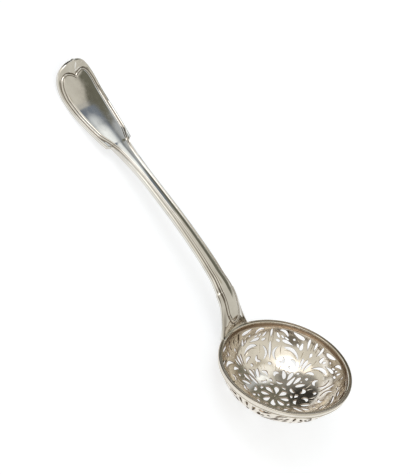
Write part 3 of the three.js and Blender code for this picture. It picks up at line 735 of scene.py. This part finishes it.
def thread_marks(inset, lobe, stop):
    """Places near which a thread passes the landmarks."""
    side = float(thread_aside(EDGE_STATION, inset))
    foot = float(thread_aside(foot_station, inset))
    return [(lobe + 1.5, 0.55 * LOBE_ASIDE), (lobe, LOBE_ASIDE), (EDGE_STATION, side),
            (TERMINAL_LENGTH, float(thread_aside(TERMINAL_LENGTH, inset))), (foot_station, foot),
            (lip_station - stop - 1.3 * foot, 0.9 * foot)]


edge_marks = [(station, float(handle_width(station)) / 2)
              for station in (0.3, 1.6, EDGE_STATION, TERMINAL_LENGTH, foot_station, lip_station)]
front_edge = resample(edge_line(False), edge_marks)
back_edge = resample(edge_line(True), edge_marks)
outer = resample(thread_line(OUTER_INSET, OUTER_LOBE, OUTER_CLEFT, OUTER_STOP),
                 thread_marks(OUTER_INSET, OUTER_LOBE, OUTER_STOP))
inner = resample(thread_line(INNER_INSET, INNER_LOBE, INNER_CLEFT, INNER_STOP),
                 thread_marks(INNER_INSET, INNER_LOBE, INNER_STOP))


def beside(line, distance):
    """The line moved sideways, towards the middle of the handle."""
    along = np.gradient(line, axis=0)
    along /= np.linalg.norm(along, axis=1)[:, None]
    moved = line + distance * np.stack([along[:, 1], -along[:, 0]], axis=1)
    moved[:, 1] = np.maximum(moved[:, 1], 0)
    moved[[0, -1], 1] = 0
    return moved


# The middle of the front and of the back, with the stations where they pass the landmarks
middle_stations = np.interp(np.linspace(0, 1, LINE_POINTS), LANDMARKS, [
    INNER_CLEFT + 0.5, INNER_CLEFT + 1.2, INNER_CLEFT + 2.5, EDGE_STATION + 3, TERMINAL_LENGTH,
    foot_station, lip_station - INNER_STOP - 3, lip_station - INNER_STOP - 0.5])
middle = np.stack([middle_stations, 0 * middle_stations], axis=1)
back_stations = np.interp(np.linspace(0, 1, LINE_POINTS), LANDMARKS, [
    3.0, 4.0, 6.0, EDGE_STATION, TERMINAL_LENGTH, foot_station, lip_station, course_length - 2])
back_middle = np.stack([back_stations, 0 * back_stations], axis=1)


def edge_height(plan, inset):
    """Height of the face over the middle of the section, by how far in from the edge it lies."""
    square = handle_squareness(plan[:, 0])
    half = handle_width(np.maximum(plan[:, 0], TERMINAL_END)) / 2
    out = np.clip(1 - inset / half, 0, 1)
    return handle_thickness(plan[:, 0]) / 2 * (1 - out ** square) ** (1 / square)


def apart(a, b):
    """How far apart two lines run."""
    return np.linalg.norm(a - b, axis=1)


# Rows of points over the front: plan, distance from the edge, depth and share of tarnish. Each
# strip between two lines has rows at shares of the way across, closer where it curves.
BEAD_ROWS = ((0.25, 0.06), (0.5, 0.08), (0.75, 0.06), (1, 0))  # way across, and rise in mm
rows = []


def add_groove(line, inset, groove):
    """Four rows down one flank of a thread and up the other."""
    width, depth = groove
    for step, share in ((-0.5, 0.75), (0, 1), (0.5, 0.75), (1, 0)):
        plan = beside(line, step * width / 2)
        rows.append((plan, inset + (step + 1) * width / 2, depth * share, share))


outer_rim = beside(outer, -OUTER_GROOVE[0] / 2)
bead_from = beside(outer, OUTER_GROOVE[0] / 2)
bead_to = beside(inner, -INNER_GROOVE[0] / 2)
field = beside(inner, INNER_GROOVE[0] / 2)
outer_inset = apart(front_edge, outer_rim)
bead_inset = outer_inset + OUTER_GROOVE[0]
inner_inset = bead_inset + apart(bead_from, bead_to)
for across in (0, 0.015, 0.06, 0.14, 0.27, 0.45, 0.7, 1):
    plan = front_edge + (outer_rim - front_edge) * across
    rows.append((plan, outer_inset * across, 0.0, 0.0))
add_groove(outer, outer_inset, OUTER_GROOVE)
for across, rise in BEAD_ROWS:
    plan = bead_from + (bead_to - bead_from) * across
    rows.append((plan, bead_inset + (inner_inset - bead_inset) * across, -rise, 0.0))
add_groove(inner, inner_inset, INNER_GROOVE)
for across in (0.12, 0.3, 0.5, 0.75, 1):
    plan = field + (middle - field) * across
    rows.append((plan, inner_inset + INNER_GROOVE[0] + apart(field, middle) * across, 0.0, 0.0))

# Where the details of the front set in and fade, in mm
OVER_SEAM = SOLDER_SEAM + INTO_WALL
SEAM_RAMP = 1.5  # before the lip
FLARE_START, FLARE_FULL = 2.0, 8.0  # past the foot's shoulders
CROWN_START, CROWN_FULL = 0.3, 2.0  # in from the edge
GROOVE_START = 0.2  # in from the edge
RISE_START = 12.0  # before the foot's shoulders
RISE_END = 6.0  # before the lip
RISE_EDGE = 1.0  # in from the edge
RIDGE_FADE = 2.5  # before the cleft
RIDGE_EDGE = 1.2  # in from the edge
WORN_FULL = 15.0  # past the shoulders
WORN_FADE, WORN_END = 28.0, 6.0  # before the foot's shoulders
PAINTED_REFLECTION_START, PAINTED_REFLECTION_FULL = 6.0, 13.0  # past the foot's shoulders
PAINTED_REFLECTION_OUTER = (0.2, 0.8)  # in from the edge, where the painted reflection sets in
PAINTED_REFLECTION_INNER = (1.6, 2.6)  # and where it fades
surface = []
row_tarnish_and_reflection = []


def lay_row(plan, height, tarnish_and_painted_reflection):
    """Adds a row of points to the handle's skin, drawn out to the nib at the tip."""
    station, aside = plan.T
    nib = NIB * np.exp(-(aside / NIB_HALF) ** 2) * np.clip(1 - station / NIB_REACH, 0, 1)
    surface.append(handle_place(np.stack([station - nib, aside], axis=1), height))
    row_tarnish_and_reflection.append(tarnish_and_painted_reflection + np.zeros(LINE_POINTS))


for plan, inset, depth, tarnish_and_painted_reflection in rows:
    station, aside = plan.T
    half = handle_width(np.maximum(station, TERMINAL_END)) / 2
    from_edge = half - aside
    on_flare = ease(station, foot_station + FLARE_START, foot_station + FLARE_FULL)
    inset = inset + (from_edge - inset) * on_flare
    height = edge_height(plan, inset)
    height = height - CROWN * (aside / half) ** 2 * ease(inset, CROWN_START, CROWN_FULL)
    height = height - depth * (inset > GROOVE_START)
    height = height + OVER_SEAM * ease(station, lip_station - SEAM_RAMP, lip_station)
    on_foot = ease(station, foot_station - RISE_START, foot_station)
    on_foot = on_foot * (1 - ease(station, lip_station - RISE_END, lip_station))
    height = height + FOOT_RISE * (1 - (aside / half) ** 2) * on_foot * ease(inset, 0, RISE_EDGE)
    to_cleft = 1 - ease(station, OUTER_CLEFT - RIDGE_FADE, OUTER_CLEFT)
    ridge = np.exp(-(aside / CLEFT_RIDGE_HALF) ** 2) * to_cleft
    height = height + CLEFT_RIDGE * ridge * ease(inset, 0, RIDGE_EDGE)
    worn = ease(station, neck_station, neck_station + WORN_FULL)
    worn = worn * (1 - ease(station, foot_station - WORN_FADE, foot_station - WORN_END))
    # Painted reflection: a dark band down the foot's flanks, for the dark that they mirror
    tarnish_and_reflection_film = ease(station, foot_station + PAINTED_REFLECTION_START, foot_station + PAINTED_REFLECTION_FULL)
    tarnish_and_reflection_film = tarnish_and_reflection_film * ease(from_edge, *PAINTED_REFLECTION_OUTER) * (1 - ease(from_edge, *PAINTED_REFLECTION_INNER)) * FOOT_PAINTED_REFLECTION
    lay_row(plan, height, np.maximum(tarnish_and_painted_reflection * (1 - WORN_THREAD * worn), tarnish_and_reflection_film))
surface.reverse()
row_tarnish_and_reflection.reverse()

# Over the solder at the lip, and then the plain back
seam_share = ease(back_edge[:, 0], lip_station - 0.1, lip_station + 0.5)
contact = handle_thickness(back_edge[:, 0]) / 2 + OVER_SEAM
surface.append(handle_place(back_edge, contact * seam_share))
row_tarnish_and_reflection.append(np.zeros(LINE_POINTS))
back_span = apart(back_edge, back_middle)
for across in (0, 0.004, 0.015, 0.04, 0.08, 0.15, 0.3, 0.5, 0.75, 1):
    plan = back_edge + (back_middle - back_edge) * across
    lay_row(plan, -edge_height(plan, back_span * across), 0)

side_points = np.vstack(surface)
side_size = len(side_points)
handle_points = np.vstack([side_points, side_points * [1, -1, 1]])
handle_faces = []
for row in range(len(surface) - 1):
    for i in range(LINE_POINTS - 1):
        a = row * LINE_POINTS + i
        b = a + LINE_POINTS
        handle_faces.append((a, a + 1, b + 1, b))
        handle_faces.append((a + side_size, b + side_size, b + 1 + side_size, a + 1 + side_size))
handle = make_piece("struck_handle", handle_points, handle_faces)
# Tarnish in the threads, and the painted dark reflection on the foot's flanks
dark = handle.data.attributes.new("tarnish_and_painted_reflection", "FLOAT", "POINT")
dark.data.foreach_set("value", np.tile(np.concatenate(row_tarnish_and_reflection), 2))
cleaned = bmesh.new()
cleaned.from_mesh(handle.data)
bmesh.ops.remove_doubles(cleaned, verts=cleaned.verts, dist=1e-5)
bmesh.ops.dissolve_degenerate(cleaned, edges=cleaned.edges, dist=1e-6)
bmesh.ops.recalc_face_normals(cleaned, faces=cleaned.faces)
cleaned.to_mesh(handle.data)
cleaned.free()
handle.data.set_sharp_from_angle(angle=math.radians(SHARP_EDGE))

# 950 silver, struck and polished on the wheel: a clear mirror with fine wear, brown threads, and a
# painted dark reflection along the foot's flanks
handle.data.materials.append(
    silver("struck_polished_silver", "#DCD9D2", "#5F4D38", 0.07, 16.0, 0.04))
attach(handle, "root")
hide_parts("handle")


# Table, light and camera
# A pale matt table under even studio light. The camera looks at the spoon as a hand-held
# portrait lens about 0.7 m away does, with the mouth of the bowl nearly level in the frame.
CAMERA_PLACE = (8.53, -489.25, 510.05)  # mm over the table
CAMERA_RIGHT = (0.76155, 0.60807, 0.22426)  # over the level mouth, as the next one
CAMERA_DOWN = (0.51572, -0.35899, -0.77792)
LENS = 115.0
TABLE_REACH = 30.0  # metres each way
CARD_LIFT = 0.58  # by which eye and silver see the card brighter than it is lit

table_mesh = bpy.data.meshes.new("table")
corners = [(TABLE_REACH * x, TABLE_REACH * y, 0) for x, y in ((-1, -1), (1, -1), (1, 1), (-1, 1))]
table_mesh.from_pydata(corners, [], [(0, 1, 2, 3)])
table = bpy.data.objects.new("table", table_mesh)
bpy.context.scene.collection.objects.link(table)

# White card, coated matt: no gloss, a faint soft shadow, and as white as the photo's ground
card = bpy.data.materials.new("matt_white_card")
card.use_nodes = True
paper = card.node_tree.nodes["Principled BSDF"]
paper.inputs["Base Color"].default_value = linear("#C6CAD1")
paper.inputs["Roughness"].default_value = 0.9
rays = node(card, "ShaderNodeLightPath").outputs
seen = rays["Is Camera Ray"]
for ray in ("Is Glossy Ray", "Is Transmission Ray"):
    either = node(card, "ShaderNodeMath", {"operation": "MAXIMUM"}, links={0: seen, 1: rays[ray]})
    seen = either.outputs[0]
lift = node(card, "ShaderNodeMath", {"operation": "MULTIPLY"}, {1: CARD_LIFT}, {0: seen})
paper.inputs["Emission Color"].default_value = (1, 1, 1, 1)
card.node_tree.links.new(lift.outputs[0], paper.inputs["Emission Strength"])
table_mesh.materials.append(card)

# The room that the silver mirrors: pale walls, behind the spoon a grey screen with a pale gap
# in it and a cool window over it, and round patches of dark and bright, the ceiling's light
# among them. Directions are over the level mouth of the bowl: azimuth and elevation in degrees.
ROOM_WALL = "#E0DDD4"
SCREEN = "#757468"
SCREEN_FROM = 51
SCREEN_TO = 168
SCREEN_FOOT = 11
SCREEN_FOOT_SOFT = 5
SCREEN_SLOPE = ((55, 31), (71, 43.5))  # two places along its slanting top
GAP = "#BFC4C9"  # between the screen's two halves
GAP_FROM = 88
GAP_TO = 96
GAP_TOP = 44
GAP_TOP_SOFT = 3
WINDOW = "#828B98"
WINDOW_EDGE = ((77, 44.5), (70, 52))
WINDOW_SILL = 44
WINDOW_SILL_SOFT = 1.5
WINDOW_MIDDLE = (80, 50)
WINDOW_REACH = (14, 9)  # radius of its fading edge and of its core
LINE_SOFT = 0.02  # half width of a soft edge, as a sine
ROOM_PATCHES = [
    # azimuth, elevation, radius of its fading edge and of its core, colour, strength
    (42, 59, 12, 5, "#BDB7A9", 1.0),
    (165, 63, 31, 23, "#8F8D88", 1.0),
    (147, 41, 25, 12, "#383633", 1.0),
    (64, 67, 13, 6, "#F6F6F2", 1.1),
    (92, 53, 9, 4, "#F4F9FC", 1.35),
    (97, 14, 14, 8, "#D9E0E6", 1.0),
    (296, 18, 18, 9, "#7C776D", 1.0),
    (308, 54, 19, 9, "#FBF8F1", 1.12),
    (236, 58, 17, 8, "#FFF9EF", 1.35),
    (352, 66, 11, 5, "#FBF6EC", 1.1),
    (285, 76, 21, 11, "#FFFEFC", 1.8),
]

world = bpy.data.worlds.new("studio")
bpy.context.scene.world = world
world.use_nodes = True
sky = node(world, "ShaderNodeTexCoord").outputs["Generated"]
lean = Matrix.Rotation(-LEAN, 3, "Y")


def direction(azimuth, elevation):
    """A direction over the level mouth, from degrees, as it is over the table."""
    az, el = math.radians(azimuth), math.radians(elevation)
    return lean @ Vector((math.cos(el) * math.cos(az), math.cos(el) * math.sin(az), math.sin(el)))


def towards(way, start, end):
    """1 where the sky lies towards that direction, 0 away from it, softly between."""
    dot = node(world, "ShaderNodeVectorMath", {"operation": "DOT_PRODUCT"}, {1: way}, {0: sky})
    share = node(world, "ShaderNodeMapRange", {"interpolation_type": "SMOOTHSTEP"},
                 {"From Min": start, "From Max": end}, {"Value": dot.outputs["Value"]})
    return share.outputs["Result"]


def disc(way, outer, inner):
    """1 within the inner angle of that direction, 0 outside the outer one."""
    return towards(way, math.cos(math.radians(outer)), math.cos(math.radians(inner)))


def beside_line(first, second, softness):
    """1 on the left of the line from the first place in the sky to the second, 0 on its right."""
    across = direction(*second).cross(direction(*first)).normalized()
    return towards(across, -softness, softness)


def above(elevation, soft):
    """1 above that elevation, 0 below it."""
    low, high = math.radians(elevation - soft), math.radians(elevation + soft)
    return towards(direction(0, 90), math.sin(low), math.sin(high))


def below(elevation, soft):
    """1 below that elevation, 0 above it."""
    low, high = math.radians(elevation - soft), math.radians(elevation + soft)
    return towards(direction(0, -90), -math.sin(high), -math.sin(low))


def blend_in(under, colour, share, strength=1.0):
    """That colour over the one under it, where its share is 1."""
    bright = [channel * strength for channel in linear(colour)]
    mixed = node(world, "ShaderNodeMix", {"data_type": "RGBA"}, {7: bright}, {0: share, 6: under})
    return mixed.outputs[2]


def overlap(*shares):
    """1 only where all the shares are 1."""
    both = shares[0]
    for share in shares[1:]:
        product = node(world, "ShaderNodeMath", {"operation": "MULTIPLY"}, links={0: both, 1: share})
        both = product.outputs[0]
    return both


screen = overlap(
    beside_line(SCREEN_SLOPE[0], SCREEN_SLOPE[1], LINE_SOFT),
    beside_line((SCREEN_FROM, 0), (SCREEN_FROM, 80), LINE_SOFT),
    beside_line((SCREEN_TO, 80), (SCREEN_TO, 0), 4 * LINE_SOFT),
    above(SCREEN_FOOT, SCREEN_FOOT_SOFT),
)
gap_between = overlap(
    beside_line((GAP_FROM, 0), (GAP_FROM, 80), LINE_SOFT),
    beside_line((GAP_TO, 80), (GAP_TO, 0), 1.5 * LINE_SOFT),
    below(GAP_TOP, GAP_TOP_SOFT),
)
window = overlap(
    beside_line(WINDOW_EDGE[0], WINDOW_EDGE[1], LINE_SOFT),
    above(WINDOW_SILL, WINDOW_SILL_SOFT),
    disc(direction(*WINDOW_MIDDLE), *WINDOW_REACH),
)
walls = node(world, "ShaderNodeRGB")
walls.outputs[0].default_value = linear(ROOM_WALL)
painted = blend_in(walls.outputs[0], SCREEN, screen)
painted = blend_in(painted, GAP, gap_between)
painted = blend_in(painted, WINDOW, window)
for azimuth, elevation, edge, core, colour, strength in ROOM_PATCHES:
    painted = blend_in(painted, colour, disc(direction(azimuth, elevation), edge, core), strength)
air = world.node_tree.nodes["Background"]
world.node_tree.links.new(painted, air.inputs["Color"])
air.inputs["Strength"].default_value = 1

# A weak square soft box overhead, for the spoon's faint shadow on the table
LAMP_DIRECTION = (290, 80)
LAMP_DISTANCE = 2.2  # metres
LAMP_SIZE = 0.9
LAMP_WATTS = 3.4
light = bpy.data.lights.new("ceiling_soft_box", "AREA")
light.shape = "SQUARE"
light.size = LAMP_SIZE
light.energy = LAMP_WATTS
lamp = bpy.data.objects.new("ceiling_soft_box", light)
bpy.context.scene.collection.objects.link(lamp)
lamp.location = direction(*LAMP_DIRECTION) * LAMP_DISTANCE
lamp.rotation_euler = (-lamp.location).to_track_quat("-Z", "Y").to_euler()

camera_data = bpy.data.cameras.new("camera")
camera_data.lens = LENS
camera_data.sensor_width = 36
camera_data.sensor_fit = "AUTO"
camera = bpy.data.objects.new("camera", camera_data)
bpy.context.scene.collection.objects.link(camera)
right = lean @ Vector(CAMERA_RIGHT)
up = -(lean @ Vector(CAMERA_DOWN))
turned = Matrix((right, up, right.cross(up))).transposed().to_4x4()
camera.matrix_world = Matrix.Translation(Vector(CAMERA_PLACE) / 1000) @ turned
bpy.context.scene.camera = camera
bpy.context.scene.view_settings.view_transform = "Standard"
